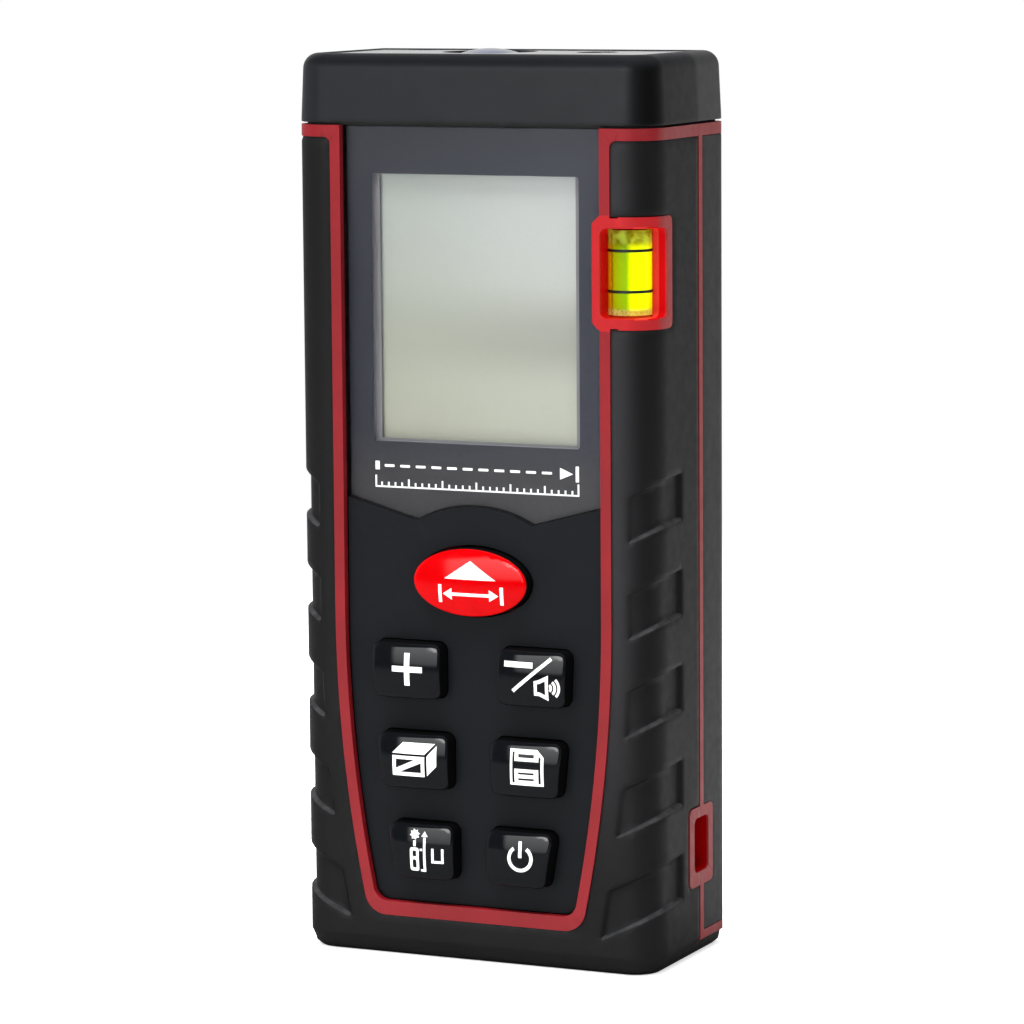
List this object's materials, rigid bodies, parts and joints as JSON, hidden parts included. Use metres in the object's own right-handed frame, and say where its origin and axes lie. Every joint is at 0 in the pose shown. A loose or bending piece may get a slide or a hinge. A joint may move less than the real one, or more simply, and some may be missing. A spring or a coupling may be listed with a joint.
{
  "type": "laser distance meter",
  "caption": "Hand-held laser distance meter: upright body with rubber grips, red trim, display, keypad, spirit level, strap slot and optics in the head.",
  "frame": {"origin": "centre of the flat lower end face, which is the zero of the measurement", "axes": "+Z along the laser beam, -Y out of the display, +X towards the side with the strap slot"},
  "size_m": [0.05, 0.0268, 0.1161],
  "materials": {
    "red_plastic": "satin",
    "black_rubber": "fine matt grain",
    "grey_rubber": "fine matt grain",
    "cap_plastic": "satin, spark eroded",
    "foam": "open cell foam",
    "black_gloss": "polished",
    "coated_lens": "polished, anti-reflection coated",
    "clear_window": "polished acrylic",
    "mask_print": "screen printed film",
    "lcd": "satin polariser",
    "holder_plastic": "moulded",
    "light_guide": "white diffuser",
    "zebra_rubber": "layered",
    "panel_plastic": "fine matt grain",
    "red_key": "polished",
    "black_key": "polished",
    "silicone": "smooth",
    "spring_steel": "nickel plated",
    "board_green": "solder mask",
    "chip_black": "moulded epoxy",
    "screw_steel": "zinc plated",
    "brass": "turned",
    "can_metal": "plated",
    "flex_film": "polyimide film",
    "battery_jacket": "printed jacket",
    "wire_cover": "smooth",
    "vial_acrylic": "polished acrylic",
    "vial_liquid": "clear liquid",
    "vial_air": "air bubble",
    "line_ink": "printed",
    "plug_plastic": "translucent",
    "label_vinyl": "satin vinyl"
  },
  "bodies": {
    "housing": {"front_shell": "red_plastic", "front_grip": "black_rubber", "rear_shell": "red_plastic", "rear_grip": "grey_rubber", "head_cap": "cap_plastic", "cap_seal": "foam", "optic_window": "black_gloss", "receiver_lens": "coated_lens", "laser_window": "coated_lens", "display_window": "clear_window", "window_mask": "mask_print", "lcd_glass": "lcd", "lcd_holder": "holder_plastic", "backlight": "light_guide", "zebra_strip": "zebra_rubber", "keypad_panel": "panel_plastic", "key_mat": "silicone", "snap_domes": "spring_steel", "main_board": "board_green", "board_chips": "chip_black", "board_screws": "screw_steel", "buzzer": "chip_black", "optics_frame": "chip_black", "frame_screws": "screw_steel", "laser_module": "brass", "collimating_lens": "coated_lens", "detector": "can_metal", "detector_board": "board_green", "flex_cable": "flex_film", "left_battery": "battery_jacket", "right_battery": "battery_jacket", "battery_springs": "spring_steel", "battery_contacts": "spring_steel", "battery_wires": "wire_cover", "case_screws": "screw_steel", "vial_tube": "vial_acrylic", "vial_spirit": "vial_liquid", "vial_rings": "line_ink", "vial_plug": "plug_plastic", "rating_label": "label_vinyl"},
    "measure_key": {"measure_key": "red_key"},
    "plus_key": {"plus_key": "black_key"},
    "minus_key": {"minus_key": "black_key"},
    "area_key": {"area_key": "black_key"},
    "memory_key": {"memory_key": "black_key"},
    "reference_key": {"reference_key": "black_key"},
    "clear_key": {"clear_key": "black_key"},
    "battery_door": {"battery_door": "cap_plastic", "door_pad": "foam"},
    "vial_bubble": {"vial_bubble": "vial_air"}
  },
  "joints": [
    {"name": "measure_press", "type": "slide", "parent": "housing", "child": "measure_key", "axis": [0, 1, 0], "range_m": [0, 0.0006]},
    {"name": "plus_press", "type": "slide", "parent": "housing", "child": "plus_key", "axis": [0, 1, 0], "range_m": [0, 0.0006]},
    {"name": "minus_press", "type": "slide", "parent": "housing", "child": "minus_key", "axis": [0, 1, 0], "range_m": [0, 0.0006]},
    {"name": "area_press", "type": "slide", "parent": "housing", "child": "area_key", "axis": [0, 1, 0], "range_m": [0, 0.0006]},
    {"name": "memory_press", "type": "slide", "parent": "housing", "child": "memory_key", "axis": [0, 1, 0], "range_m": [0, 0.0006]},
    {"name": "reference_press", "type": "slide", "parent": "housing", "child": "reference_key", "axis": [0, 1, 0], "range_m": [0, 0.0006]},
    {"name": "clear_press", "type": "slide", "parent": "housing", "child": "clear_key", "axis": [0, 1, 0], "range_m": [0, 0.0006]},
    {"name": "door_swing", "type": "hinge", "parent": "housing", "child": "battery_door", "pos_m": [0, 0.01192, 0.00677], "axis": [-1, 0, 0], "range_deg": [0, 80]},
    {"name": "bubble_travel", "type": "slide", "parent": "housing", "child": "vial_bubble", "axis": [0, 0, -1], "range_m": [0, 0.0075]}
  ]
}
